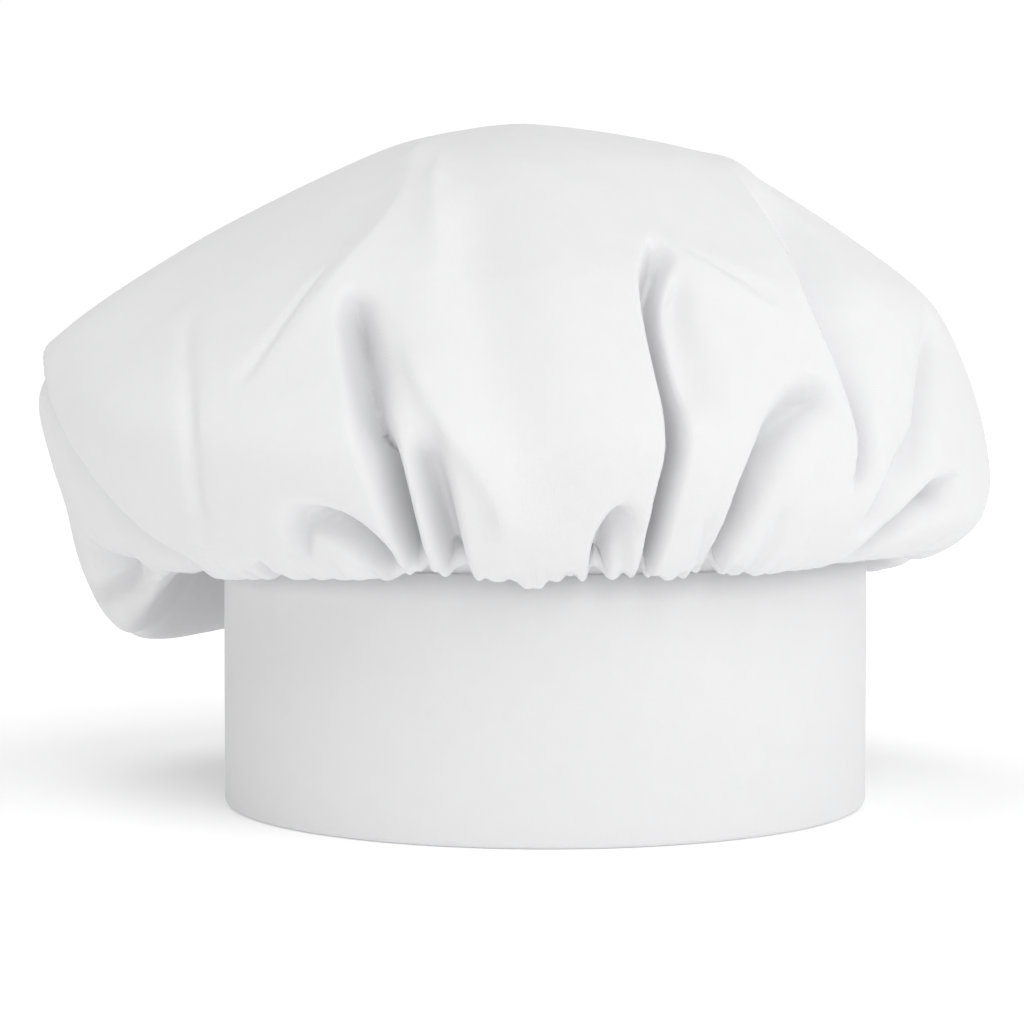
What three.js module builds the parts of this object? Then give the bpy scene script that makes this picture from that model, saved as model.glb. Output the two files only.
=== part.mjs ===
// A soft kitchen cap: a stiff upright head band and a puffed crown of plain cloth gathered into its top edge.
// Millimetres, +Z up. The cap stands on the band's lower edge, its front faces -Y, and the origin is on that
// surface in the middle of the whole cap's plan. Azimuths are in degrees round the band's axis, 0 at the front
// and positive towards +X. A height on the crown is a share of the cloth's run from the seam (0) to the top (1).
import * as THREE from "three";

// Driving dimensions
const BAND_RADIUS = 97.5; // outside, for a head of about 59 cm
const BAND_HEIGHT = 75;
const BAND_AXIS = { x: 11, y: -3 }; // the crown flops to the left and back, so the band isn't in the plan's middle
const PLY = 1; // one ply of the band
const CLOTH = 1; // the crown's wall
const GAP = 0.3; // left between pieces that touch
const TUCK = 10; // how far the crown's gathered edge goes down between the band's plies
const INNER_PLY_DROP = 1.5; // the inner ply stops this far below the outer one
const BAND_SIDES = 72;
const BAND_FOLD = 1; // the rounding of its lower edge

const SEAM_RADIUS = BAND_RADIUS - PLY - GAP; // the crown's outside where it leaves the band
const SLOT = CLOTH + 2 * GAP;
const BAND_INSIDE = BAND_RADIUS - 2 * PLY - SLOT;

// The crown's summit, off the band's axis because the crown flops over
const SUMMIT = { x: -8, y: 0, z: 205 };
// Where every cross-section bends over the band's lip, as [radius, height]
const LIP = [99.4, 79.5];

// Cross-sections of the crown round the band's axis, each point as [radius, height]: low is the underside's
// lowest point, reach the widest, shoulder where the side turns in, and brow where the top begins.
const SECTIONS = [
  { at: -165, low: [124, 46], reach: [138, 88], shoulder: [104, 155], brow: [44, 194] },
  { at: -135, low: [129, 41], reach: [151, 88], shoulder: [104, 158], brow: [40, 196] },
  { at: -112, low: [131, 39], reach: [160, 94], shoulder: [103, 162], brow: [38, 198] },
  { at: -96, low: [124, 50], reach: [158, 112], shoulder: [99, 166.5], brow: [36, 198.5] },
  { at: -82, low: [110, 68], reach: [153, 131], shoulder: [99, 168], brow: [36, 199] },
  { at: -60, low: [107, 71], reach: [145, 118], shoulder: [98, 164], brow: [37, 198] },
  { at: -35, low: [106, 74], reach: [136, 110], shoulder: [98, 161], brow: [39, 196] },
  { at: 0, low: [104, 76], reach: [131, 106], shoulder: [100, 158], brow: [43, 195] },
  { at: 30, low: [104, 77], reach: [132, 104], shoulder: [105, 155], brow: [51, 193] },
  { at: 60, low: [107, 71], reach: [135, 99], shoulder: [115, 152], brow: [58, 193] },
  { at: 90, low: [113, 66], reach: [138, 96], shoulder: [121, 149], brow: [60, 196] },
  { at: 125, low: [116, 60], reach: [137, 92], shoulder: [114, 150], brow: [54, 193] },
  { at: 165, low: [120, 52], reach: [135, 88], shoulder: [108, 152], brow: [49, 192] },
];
const SECTION_POINTS = ["low", "reach", "shoulder", "brow"];
const LOW_POINT = 2; // its place in a whole section, after the seam and the lip
// How round a section is at the seam, the lip, those four points and the summit: 0 is a corner, 1 a full curve
const ROUNDNESS = [1, 1, 1, 0.9, 0.6, 0.6, 0.8];
// How far along a section, as a share of its run, its bends are eased
const EASING = 0.09;
const EASING_WEIGHTS = [0.12, 0.24, 0.28, 0.24, 0.12];

// The folds. path is where a fold runs, from its foot up, as [height, azimuth]. deep is how far its valley goes
// in, and negative for a ridge. left and right are its banks' widths, looking at it from outside. lean is how far
// the left bank's roll moves over the valley, negative where the right bank's roll does. foot and head are the
// lengths over which its two ends die out. columns is how many mesh columns run from it to the next one that has
// some, and a fold without them has no column of its own.
const FOLDS = [
  { name: "left_pleat", path: [[0, -16.5], [0.17, -17.5], [0.31, -22.5], [0.46, -28.5]],
    deep: 16, left: 7, right: 11, lean: 4, foot: 16, head: 20, columns: 3 },
  { name: "left_second", path: [[0, -11.5], [0.16, -11.5], [0.35, -17]],
    deep: 8, left: 6, right: 13, lean: 0, foot: 12, head: 40, columns: 7 },
  { name: "small_front", path: [[0, 5.5], [0.1, 5.5], [0.2, 8.5]],
    deep: 8, left: 4.5, right: 9, lean: 2, foot: 8, head: 14, columns: 4 },
  { name: "right_pleat", path: [[0, 13.5], [0.21, 15], [0.39, 17], [0.56, 23]],
    deep: 16, left: 7, right: 11, lean: 4, foot: 14, head: 20, columns: 5 },
  { name: "right_pleat_bank", path: [[0.05, 18], [0.25, 20], [0.48, 25]],
    deep: 6, left: 9, right: 18, lean: 0, foot: 20, head: 40 },
  { name: "third_pleat", path: [[0, 25], [0.13, 24], [0.24, 28], [0.36, 40]],
    deep: 15, left: 7, right: 23, lean: 3, foot: 14, head: 26, columns: 5 },
  { name: "far_pleat", path: [[0, 38], [0.2, 43], [0.38, 47.5], [0.58, 58], [0.74, 76]],
    deep: 13, left: 6, right: 20, lean: 3, foot: 110, head: 70, columns: 9 },
  { name: "low_right_pleat", path: [[0, 52], [0.12, 51], [0.18, 56], [0.24, 65]],
    deep: 19, left: 6.5, right: 20, lean: 3, foot: 14, head: 14 },
  { name: "side_pleat", path: [[0.1, 49], [0.25, 49], [0.38, 67], [0.48, 86]],
    deep: 8, left: 5, right: 18, lean: 3, foot: 20, head: 30 },
  { name: "front_hollow", path: [[0.14, 2], [0.4, -6], [0.7, -12]],
    deep: 5, left: 16, right: 20, lean: 0, foot: 40, head: 40 },
  { name: "top_left_ridge", path: [[0.34, -38], [0.5, -30], [0.7, -30], [0.9, -60]],
    deep: -4, left: 16, right: 20, lean: 0, foot: 40, head: 30 },
  { name: "top_right_ridge", path: [[0.35, 42], [0.54, 26], [0.66, 16], [0.82, -20]],
    deep: -3.5, left: 14, right: 16, lean: 0, foot: 20, head: 30 },
  { name: "panel_crease", path: [[0.16, -47], [0.32, -44], [0.5, -61]],
    deep: 2.5, left: 6, right: 12, lean: 0, foot: 24, head: 30 },
  { name: "low_left_hollow", path: [[0.06, -32], [0.22, -35]],
    deep: 5, left: 10, right: 8, lean: 0, foot: 14, head: 20 },
  { name: "low_left_pleat", path: [[0, -20.5], [0.12, -21.5], [0.17, -24], [0.2, -29]],
    deep: 11, left: 11, right: 7, lean: -2.5, foot: 12, head: 14, columns: 4 },
  { name: "tip_pleat", path: [[0.1, -53], [0.16, -61], [0.22, -69], [0.31, -76], [0.47, -93]],
    deep: 15, left: 22, right: 7, lean: -5, foot: 30, head: 20 },
  { name: "tip", path: [[0.36, -76], [0.44, -87], [0.52, -100]],
    deep: -4, left: 8, right: 12, lean: 0, foot: 16, head: 16 },
  { name: "top_right_corner", path: [[0.52, 56], [0.68, 68], [0.8, 90], [0.84, 124]],
    deep: -3, left: 14, right: 12, lean: 0, foot: 40, head: 24 },
  { name: "right_side_1", path: [[0, 76], [0.16, 78], [0.34, 84]],
    deep: 11, left: 7, right: 14, lean: 2, foot: 10, head: 24, columns: 5 },
  { name: "right_side_2", path: [[0, 95], [0.2, 98], [0.46, 104]],
    deep: 13, left: 7, right: 16, lean: 2, foot: 10, head: 26, columns: 5 },
  { name: "right_back_1", path: [[0, 117], [0.14, 117], [0.3, 122]],
    deep: 9, left: 5, right: 12, lean: 1.5, foot: 10, head: 20, columns: 5 },
  { name: "right_back_2", path: [[0, 138], [0.2, 139], [0.5, 136]],
    deep: 13, left: 14, right: 7, lean: -2, foot: 10, head: 28, columns: 5 },
  { name: "back_1", path: [[0, 160], [0.16, 162], [0.36, 160]],
    deep: 10, left: 5, right: 12, lean: 1.5, foot: 10, head: 24, columns: 5 },
  { name: "back_2", path: [[0, 183], [0.2, 185], [0.54, 184]],
    deep: 12, left: 16, right: 8, lean: -2.5, foot: 10, head: 30, columns: 5 },
  { name: "left_back_1", path: [[0, 207], [0.14, 206], [0.32, 208]],
    deep: 10, left: 5, right: 12, lean: 1.5, foot: 10, head: 22, columns: 5 },
  { name: "left_back_2", path: [[0, 230], [0.22, 231], [0.5, 238]],
    deep: 11, left: 15, right: 7, lean: -2, foot: 10, head: 28, columns: 5 },
  { name: "left_side_1", path: [[0, 252], [0.16, 254], [0.34, 258]],
    deep: 10, left: 6, right: 12, lean: 1.5, foot: 10, head: 22, columns: 5 },
  { name: "left_side_2", path: [[0, 274], [0.14, 273], [0.26, 270]],
    deep: 9, left: 12, right: 8, lean: -1.5, foot: 10, head: 18, columns: 5 },
  { name: "left_side_3", path: [[0, 296], [0.1, 297], [0.16, 298]],
    deep: 6, left: 8, right: 8, lean: 0, foot: 8, head: 12, columns: 5 },
  { name: "left_side_4", path: [[0, 318], [0.08, 318], [0.14, 319]],
    deep: 5, left: 6, right: 6, lean: 0, foot: 6, head: 10, columns: 5 },
];

// A fold is narrower by the seam, where the cloth is gathered, and towards its head. GATHERED and TAPERED are
// its shares of its full width there, and it opens over the next two lengths, a share of the run and a length.
const GATHERED = 0.5;
const GATHERS_REACH = 0.16;
const TAPERED = 0.4;
const TAPER_LENGTH = 45;
// A bank falls away from the fold's line as an exponential of its share of the bank's width, to these powers
const BANK_FALL = 2.4;
const RIDGE_POWER = 1.3;
const ROLLED_POWER = 2;
const EASY_POWER = 1.8;
// The roll's sideways move falls away over these shares of its distance from the line, inside and outside it
const ROLL_INSIDE = 0.77;
const ROLL_OUTSIDE = 2.2;
// Past this many widths of its wider bank a fold moves nothing
const FOLD_REACH = 4;
// The points at which a fold's line is worked out
const STATIONS = 24;

// The crown's mesh: rows from the seam to the top, crowded towards the seam, and how much the columns crowd
const ROWS = 24;
const ROW_CROWDING = 1.5;
const CROWDING = 0.5;

const radians = THREE.MathUtils.degToRad;
const smooth = (x) => THREE.MathUtils.smoothstep(x, 0, 1);

// A cubic between two points with given slopes, at share s of the step between them.
function cubic(from, to, slopeFrom, slopeTo, step, s) {
  const s2 = s * s;
  const s3 = s2 * s;
  const bend = (s3 - 2 * s2 + s) * slopeFrom + (s3 - s2) * slopeTo;
  return (2 * s3 - 3 * s2 + 1) * from + (3 * s2 - 2 * s3) * to + step * bend;
}

// The slope of a curve through three points, at the middle one.
function middleSlope(x, y) {
  const before = x[1] - x[0];
  const after = x[2] - x[1];
  return (((y[1] - y[0]) / before) * after + ((y[2] - y[1]) / after) * before) / (before + after);
}

// The value at x of a smooth curve through [x, y] points in order of x. Past its ends it keeps their values.
function along(points, x) {
  const last = points.length - 1;
  let i = 0;
  while (i < last - 1 && x > points[i + 1][0]) i += 1;
  const slope = (k) => {
    const near = Math.min(Math.max(k, 1), last - 1);
    if (last === 1) return (points[1][1] - points[0][1]) / (points[1][0] - points[0][0]);
    const three = points.slice(near - 1, near + 2);
    if (k === near) return middleSlope(three.map((p) => p[0]), three.map((p) => p[1]));
    const [a, b] = k === 0 ? [points[0], points[1]] : [points[last - 1], points[last]];
    return (b[1] - a[1]) / (b[0] - a[0]);
  };
  const [a, b] = [points[i], points[i + 1]];
  const inside = Math.min(Math.max(x, a[0]), b[0]);
  const step = b[0] - a[0];
  return cubic(a[1], b[1], slope(i), slope(i + 1), step, (inside - a[0]) / step);
}

// The crown's cross-section at an azimuth, worked out smoothly from the four rows of the table round it.
function sectionAt(azimuth) {
  const count = SECTIONS.length;
  const first = SECTIONS[0].at;
  const turned = THREE.MathUtils.euclideanModulo(azimuth - first, 360) + first;
  let i = 0;
  while (i < count - 1 && SECTIONS[i + 1].at <= turned) i += 1;
  const rows = [-1, 0, 1, 2].map((k) => SECTIONS[(i + k + count) % count]);
  const at = [-1, 0, 1, 2].map((k, n) => rows[n].at + 360 * Math.floor((i + k) / count));
  const step = at[2] - at[1];
  const value = (name, part) => {
    const y = rows.map((row) => row[name][part]);
    const slopes = [middleSlope(at.slice(0, 3), y.slice(0, 3)), middleSlope(at.slice(1), y.slice(1))];
    return cubic(y[1], y[2], slopes[0], slopes[1], step, (turned - at[1]) / step);
  };
  return SECTION_POINTS.map((name) => [value(name, 0), value(name, 1)]);
}

// The crown's cross-section at an azimuth from the seam to the summit, and the length run at each of its points.
function wholeSection(azimuth) {
  const points = [[SEAM_RADIUS, BAND_HEIGHT], LIP, ...sectionAt(azimuth), [0, SUMMIT.z]];
  const run = [0];
  for (let k = 1; k < points.length; k += 1) {
    run.push(run[k - 1] + Math.hypot(points[k][0] - points[k - 1][0], points[k][1] - points[k - 1][1]));
  }
  return { points, run };
}

// A point [radius, height] on a cross-section, at a height given as a share of its run.
function onSection({ points, run }, share) {
  const last = points.length - 1;
  let i = 0;
  while (i < last - 1 && share * run[last] > run[i + 1]) i += 1;
  const step = run[i + 1] - run[i];
  const s = (share * run[last] - run[i]) / step;
  return [0, 1].map((part) => {
    const slope = (k) => {
      if (k === 0) return [0, 1][part];
      if (k === last) return [-1, 0][part];
      const three = [k - 1, k, k + 1];
      return middleSlope(three.map((n) => run[n]), three.map((n) => points[n][part]));
    };
    const [from, to] = [points[i][part], points[i + 1][part]];
    return cubic(from, to, slope(i) * ROUNDNESS[i], slope(i + 1) * ROUNDNESS[i + 1], step, s);
  });
}

// The same, eased by the mean of five points a little way along it, less so near the seam and the summit.
function easedSection(section, share) {
  const reach = Math.min(EASING, share / 3, (1 - share) / 3);
  const near = [-2, -1, 0, 1, 2].map((k) => onSection(section, share + (k * reach) / 2));
  return [0, 1].map((part) => EASING_WEIGHTS.reduce((sum, weight, k) => sum + weight * near[k][part], 0));
}

// The crown's unfolded surface at an azimuth and height.
function unfolded(azimuth, share) {
  const [radius, height] = easedSection(wholeSection(azimuth), share);
  const drift = smooth(share);
  const angle = radians(azimuth);
  return new THREE.Vector3(
    SUMMIT.x * drift + radius * Math.sin(angle),
    SUMMIT.y * drift - radius * Math.cos(angle),
    height,
  );
}

// The outwards direction of the unfolded surface at an azimuth and height.
function outwardsAt(azimuth, share) {
  const step = 0.001;
  const sideways = unfolded(azimuth + 1, share).sub(unfolded(azimuth - 1, share));
  const upwards = unfolded(azimuth, Math.min(share + step, 1)).sub(unfolded(azimuth, share - step));
  return sideways.cross(upwards).normalize();
}

// Each fold's path as points on the unfolded surface, with the length run so far.
const foldLines = FOLDS.map((fold) => {
  const count = fold.path.length;
  const shares = fold.path.map(([share], i) => [i / (count - 1), share]);
  const azimuths = fold.path.map(([, azimuth], i) => [i / (count - 1), azimuth]);
  const points = [];
  const run = [0];
  for (let i = 0; i <= STATIONS; i += 1) {
    const s = i / STATIONS;
    const share = along(shares, s);
    const azimuth = along(azimuths, s);
    points.push({ at: unfolded(azimuth, share), out: outwardsAt(azimuth, share), share });
    if (i) run.push(run[i - 1] + points[i].at.distanceTo(points[i - 1].at));
  }
  return { ...fold, points, run };
});

// The place on a fold's line that is nearest to a point: its distance, side, and lengths to both ends.
function nearestOn(line, point) {
  let best = { distance: Infinity };
  for (let i = 0; i < STATIONS; i += 1) {
    const from = line.points[i].at;
    const step = line.points[i + 1].at.clone().sub(from);
    const offset = point.clone().sub(from);
    const s = Math.min(Math.max(offset.dot(step) / step.lengthSq(), 0), 1);
    const away = offset.addScaledVector(step, -s);
    const distance = away.length();
    if (distance < best.distance) {
      const side = step.clone().normalize().cross(line.points[i].out).normalize();
      const run = line.run[i] + s * step.length();
      const share = THREE.MathUtils.lerp(line.points[i].share, line.points[i + 1].share, s);
      best = { distance, side, across: away.dot(side), toFoot: run, toHead: line.run[STATIONS] - run, share };
    }
  }
  return best;
}

// How far one fold presses the cloth in, and carries it towards the right, at a place near its line.
function foldAt(line, near) {
  const strength = smooth(near.toFoot / line.foot) * smooth(near.toHead / line.head);
  const gathered = GATHERED + (1 - GATHERED) * smooth(near.share / GATHERS_REACH);
  const spread = gathered * (TAPERED + (1 - TAPERED) * smooth(near.toHead / TAPER_LENGTH));
  const across = Math.sign(near.across) * near.distance;
  const share = Math.abs(across) / (spread * (across < 0 ? line.left : line.right));
  const rolled = line.lean === 0 || line.lean > 0 === across < 0;
  const power = line.deep < 0 ? RIDGE_POWER : rolled ? ROLLED_POWER : EASY_POWER;
  const roll = spread * (line.lean < 0 ? line.right : -line.left);
  const past = (across - roll) / Math.abs(roll);
  const fall = past * roll < 0 ? ROLL_INSIDE : ROLL_OUTSIDE;
  return {
    depth: strength * line.deep * gathered ** 1.5 * Math.exp(-BANK_FALL * share ** power),
    carry: strength * line.lean * spread * Math.exp(-((past / fall) ** 2)),
  };
}

// The crown's outside at an azimuth and height, with every fold pressed into it.
function folded(azimuth, share) {
  const start = unfolded(azimuth, share);
  const here = start.clone();
  if (share <= 0 || share >= 1) return here;
  // Between the band and the crown's lowest point a fold lifts the cloth. Above that it presses it in.
  const { run } = wholeSection(azimuth);
  const toLow = (share * run.at(-1)) / run[LOW_POINT];
  const inwards = outwardsAt(azimuth, share).negate();
  const press = new THREE.Vector3(0, 0, 1).lerp(inwards, smooth(toLow - 0.7)).normalize();
  for (const line of foldLines) {
    const near = nearestOn(line, start);
    if (near.distance > FOLD_REACH * Math.max(line.left, line.right)) continue;
    const { depth, carry } = foldAt(line, near);
    here.addScaledVector(press, depth).addScaledVector(near.side, carry);
  }
  return here;
}

// The azimuths of the mesh's columns at a height. They follow the folds that have columns, and crowd near them.
function columnsAt(share) {
  const guides = FOLDS.filter((fold) => fold.columns).sort((a, b) => a.path[0][1] - b.path[0][1]);
  const lines = guides.map((fold) => along(fold.path, share));
  return guides.flatMap((fold, i) => {
    const last = i === guides.length - 1;
    const next = last ? lines[0] + 360 : lines[i + 1];
    return Array.from({ length: fold.columns }, (_, k) => {
      const w = k / fold.columns;
      return lines[i] + (next - lines[i]) * (w - (CROWDING * Math.sin(2 * Math.PI * w)) / (2 * Math.PI));
    });
  });
}

// The faces of a sheet of rings, lowest first, each joined to the next and the last one to a tip.
function sheetFaces(rings, count, first, tip, outwards) {
  const faces = [];
  const add = (a, b, c) => faces.push(...(outwards ? [a, b, c] : [a, c, b]));
  for (let k = 0; k < rings; k += 1) {
    for (let i = 0; i < count; i += 1) {
      const a = first + k * count + i;
      const b = first + k * count + ((i + 1) % count);
      if (k === rings - 1) {
        add(a, b, tip);
      } else {
        add(a, b, b + count);
        add(a, b + count, a + count);
      }
    }
  }
  return faces;
}

// The crown: its outside, an inside one cloth's thickness in along each point's normal, and its raw lower edge.
function makeCrown() {
  const tucked = columnsAt(0).map((azimuth) => unfolded(azimuth, 0).setZ(BAND_HEIGHT - TUCK));
  const shares = Array.from({ length: ROWS }, (_, k) => (k / ROWS) ** ROW_CROWDING);
  const rings = [tucked, ...shares.map((share) => columnsAt(share).map((azimuth) => folded(azimuth, share)))];
  const count = rings[0].length;
  const points = [...rings.flat(), new THREE.Vector3(SUMMIT.x, SUMMIT.y, SUMMIT.z)];
  const outside = sheetFaces(rings.length, count, 0, points.length - 1, true);
  const shell = new THREE.BufferGeometry().setFromPoints(points);
  shell.setIndex(outside);
  shell.computeVertexNormals();
  const normals = shell.getAttribute("normal");
  const inner = points.map((point, i) => {
    const normal = new THREE.Vector3().fromBufferAttribute(normals, i);
    if (i < count) normal.setZ(0).normalize();
    return point.clone().addScaledVector(normal, -CLOTH);
  });
  const first = points.length;
  const inside = sheetFaces(rings.length, count, first, first + points.length - 1, false);
  const edge = [];
  for (let i = 0; i < count; i += 1) {
    const j = (i + 1) % count;
    edge.push(i, first + i, first + j, i, first + j, j);
  }
  const geometry = new THREE.BufferGeometry().setFromPoints([...points, ...inner]);
  geometry.setIndex([...outside, ...inside, ...edge]);
  return geometry;
}

// The head band: one strip folded along its lower edge, with a slot in its top for the crown's edge, as a
// profile turned round the axis.
function makeBand() {
  const [inside, outside] = [BAND_INSIDE, BAND_RADIUS];
  const corner = 0.3 * BAND_FOLD;
  const slotFloor = BAND_HEIGHT - TUCK - 2 * GAP;
  const innerTop = BAND_HEIGHT - INNER_PLY_DROP;
  const profile = [
    [inside + BAND_FOLD, 0],
    [outside - BAND_FOLD, 0],
    [outside - corner, corner],
    [outside, BAND_FOLD],
    [outside, BAND_HEIGHT - PLY / 4],
    [outside - PLY / 4, BAND_HEIGHT],
    [outside - PLY, BAND_HEIGHT],
    [outside - PLY, slotFloor],
    [inside + PLY, slotFloor],
    [inside + PLY, innerTop],
    [inside, innerTop],
    [inside, BAND_FOLD],
    [inside + corner, corner],
    [inside + BAND_FOLD, 0],
  ];
  return new THREE.LatheGeometry(profile.map(([radius, height]) => new THREE.Vector2(radius, height)), BAND_SIDES);
}

const cloth = new THREE.MeshStandardMaterial({ color: 0xf4f4f5, roughness: 0.85, metalness: 0 });
const stiffened = new THREE.MeshStandardMaterial({ color: 0xf2f2f3, roughness: 0.8, metalness: 0 });

const crown = new THREE.Mesh(makeCrown(), cloth);
crown.name = "crown";
const band = new THREE.Mesh(makeBand(), stiffened);
band.name = "head_band";
// three.js turns a profile round Y, so the band is tipped up to stand along Z.
band.rotation.x = Math.PI / 2;

const cap = new THREE.Group();
cap.add(band, crown);
cap.position.set(BAND_AXIS.x, BAND_AXIS.y, 0);
export default cap;
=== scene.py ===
"""A soft white kitchen cap: a stiff upright head band and a puffed crown gathered into its top."""

import logging
import math
from dataclasses import dataclass, field
from enum import Enum
from typing import Any

import bpy
import numpy as np
from mathutils import Matrix, Vector


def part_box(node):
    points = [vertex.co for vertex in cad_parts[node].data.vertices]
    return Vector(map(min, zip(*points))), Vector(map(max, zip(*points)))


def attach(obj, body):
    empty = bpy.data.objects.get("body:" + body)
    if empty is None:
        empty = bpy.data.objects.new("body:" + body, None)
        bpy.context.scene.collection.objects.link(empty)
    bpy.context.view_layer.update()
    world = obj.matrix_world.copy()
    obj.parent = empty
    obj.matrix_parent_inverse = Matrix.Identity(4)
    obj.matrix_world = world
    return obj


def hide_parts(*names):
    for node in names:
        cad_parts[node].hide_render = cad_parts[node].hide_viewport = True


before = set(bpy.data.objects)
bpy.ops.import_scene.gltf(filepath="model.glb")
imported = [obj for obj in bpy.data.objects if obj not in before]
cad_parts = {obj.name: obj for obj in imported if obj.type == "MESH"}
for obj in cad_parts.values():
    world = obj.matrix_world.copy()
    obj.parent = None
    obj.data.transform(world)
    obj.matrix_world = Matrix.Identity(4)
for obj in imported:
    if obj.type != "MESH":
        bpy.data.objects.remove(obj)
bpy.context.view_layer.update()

MM = 0.001
ROOT = "root"
UV_LAYER = "weave"
Numbers = np.ndarray | float
log = logging.getLogger("kitchen_cap")


class Part(Enum):
    """The cap's pieces, each by its CAD node."""

    BAND = "head_band"
    CROWN = "crown"


class Slot(Enum):
    """Names of the record's material slots, which the script doesn't give to any material."""

    BAND = "band_cloth"
    CROWN = "crown_cloth"


def linear(hex_colour: str) -> tuple[float, float, float, float]:
    """Turns an sRGB colour to the linear one that a shader takes.

    Args:
        hex_colour: The colour as six hex digits, red first.

    Returns:
        Red, green, blue and a full alpha.
    """
    values = [int(hex_colour[i : i + 2], 16) / 255 for i in (0, 2, 4)]
    red, green, blue = (v / 12.92 if v <= 0.04045 else ((v + 0.055) / 1.055) ** 2.4 for v in values)
    return red, green, blue, 1.0


def add_node(tree: bpy.types.NodeTree, kind: str, inputs: dict[Any, Any], **settings: Any) -> bpy.types.Node:
    """Adds one node with its settings and its inputs.

    Args:
        tree: The tree that it goes in.
        kind: The node's type name.
        inputs: A value, or another node's output socket, for each input by its name or number.
        **settings: The node's own properties.

    Returns:
        The new node.
    """
    node = tree.nodes.new(kind)
    for name, value in settings.items():
        setattr(node, name, value)
    for name, value in inputs.items():
        if isinstance(value, bpy.types.NodeSocket):
            tree.links.new(value, node.inputs[name])
        else:
            node.inputs[name].default_value = value
    return node


@dataclass(frozen=True)
class PlainCotton:
    """Bleached plain-weave cotton, pressed: a matt white with a soft bloom at its edges and an even weave.

    Lengths are in millimetres. The real threads lie about 0.25 mm apart, under a pixel in the render, so
    they are drawn twice as coarse. crumple is how far apart the cloth's small dents lie, and slub the places
    where its yarn is thicker and paler.
    """

    name: str
    colour: str
    shade: str
    roughness: float
    sheen: float
    thread: float = 0.5
    thread_height: float = 0.03
    thread_strength: float = 0.4
    crumple: float = 14.0
    crumple_height: float = 0.1
    crumple_detail: float = 4.0
    crumple_roughness: float = 0.55
    slub: float = 9.0
    slub_detail: float = 3.0
    sheen_roughness: float = 0.5
    refraction: float = 1.47
    gloss: float = 0.25

    def material(self) -> bpy.types.Material:
        """Builds the material.

        Returns:
            A material that reads the piece's own flat-cloth map for the weave.
        """
        material = bpy.data.materials.new(self.name)
        material.use_nodes = True
        tree = material.node_tree
        tree.nodes.clear()
        place = add_node(tree, "ShaderNodeTexCoord", {}).outputs["Object"]
        cloth = add_node(tree, "ShaderNodeUVMap", {}, uv_map=UV_LAYER).outputs["UV"]
        per_thread = math.pi / (self.thread * MM)
        turned = add_node(tree, "ShaderNodeVectorMath", {0: cloth, "Scale": per_thread}, operation="SCALE")
        axes = add_node(tree, "ShaderNodeSeparateXYZ", {0: turned.outputs[0]}).outputs
        warp = add_node(tree, "ShaderNodeMath", {0: axes[0]}, operation="SINE").outputs[0]
        weft = add_node(tree, "ShaderNodeMath", {0: axes[1]}, operation="SINE").outputs[0]
        weave = add_node(tree, "ShaderNodeMath", {0: warp, 1: weft}, operation="MULTIPLY").outputs[0]
        dents = {
            "Vector": place,
            "Scale": 1 / (self.crumple * MM),
            "Detail": self.crumple_detail,
            "Roughness": self.crumple_roughness,
        }
        crumple = add_node(tree, "ShaderNodeTexNoise", dents).outputs[0]
        yarn = {"Vector": cloth, "Scale": 1 / (self.slub * MM), "Detail": self.slub_detail}
        slub = add_node(tree, "ShaderNodeTexNoise", yarn).outputs[0]
        # A Mix node's colour sockets share their names with its number sockets, so they are set by number
        colours = {"Factor": slub, 6: linear(self.shade), 7: linear(self.colour)}
        tint = add_node(tree, "ShaderNodeMix", colours, data_type="RGBA").outputs[2]
        dented = {"Height": crumple, "Distance": self.crumple_height * MM, "Strength": 1.0}
        soft = add_node(tree, "ShaderNodeBump", dented).outputs[0]
        woven = {
            "Height": weave,
            "Distance": self.thread_height * MM,
            "Strength": self.thread_strength,
            "Normal": soft,
        }
        fine = add_node(tree, "ShaderNodeBump", woven).outputs[0]
        surface = {
            "Base Color": tint,
            "Roughness": self.roughness,
            "Normal": fine,
            "Sheen Weight": self.sheen,
            "Sheen Roughness": self.sheen_roughness,
            "IOR": self.refraction,
            "Specular IOR Level": self.gloss,
        }
        cotton = add_node(tree, "ShaderNodeBsdfPrincipled", surface).outputs[0]
        add_node(tree, "ShaderNodeOutputMaterial", {"Surface": cotton})
        return material


CROWN_COTTON = PlainCotton("soft_cotton", colour="e8e8e9", shade="e4e4e5", roughness=0.85, sheen=0.1)
BAND_COTTON = PlainCotton(
    "stiffened_cotton", colour="e7e7e8", shade="e4e4e5", roughness=0.78, sheen=0.06, crumple=30.0,
    crumple_height=0.06,
)


def smooth(x: Numbers) -> Numbers:
    """Rises smoothly from 0 to 1 while x does."""
    x = np.clip(x, 0.0, 1.0)
    return x * x * (3 - 2 * x)


def cubic(a: Numbers, b: Numbers, slope_a: Numbers, slope_b: Numbers, step: Numbers, s: Numbers) -> Numbers:
    """A cubic between two values with given slopes.

    Args:
        a: The value at the step's start.
        b: The value at its end.
        slope_a: The slope at the start.
        slope_b: The slope at the end.
        step: The step's length.
        s: The share of the step.

    Returns:
        The value there.
    """
    s2, s3 = s * s, s * s * s
    bend = (s3 - 2 * s2 + s) * slope_a + (s3 - s2) * slope_b
    return (2 * s3 - 3 * s2 + 1) * a + (3 * s2 - 2 * s3) * b + step * bend


def along(xs: np.ndarray, ys: np.ndarray, x: np.ndarray) -> np.ndarray:
    """A smooth curve through points in order of x.

    Args:
        xs: The points' xs, two or more.
        ys: Their ys.
        x: Where to take the curve, from the first point to the last.

    Returns:
        The curve's y at each x.
    """
    slopes = np.gradient(ys, xs)
    i = np.clip(np.searchsorted(xs, x) - 1, 0, len(xs) - 2)
    step = xs[i + 1] - xs[i]
    return cubic(ys[i], ys[i + 1], slopes[i], slopes[i + 1], step, (x - xs[i]) / step)


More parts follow.
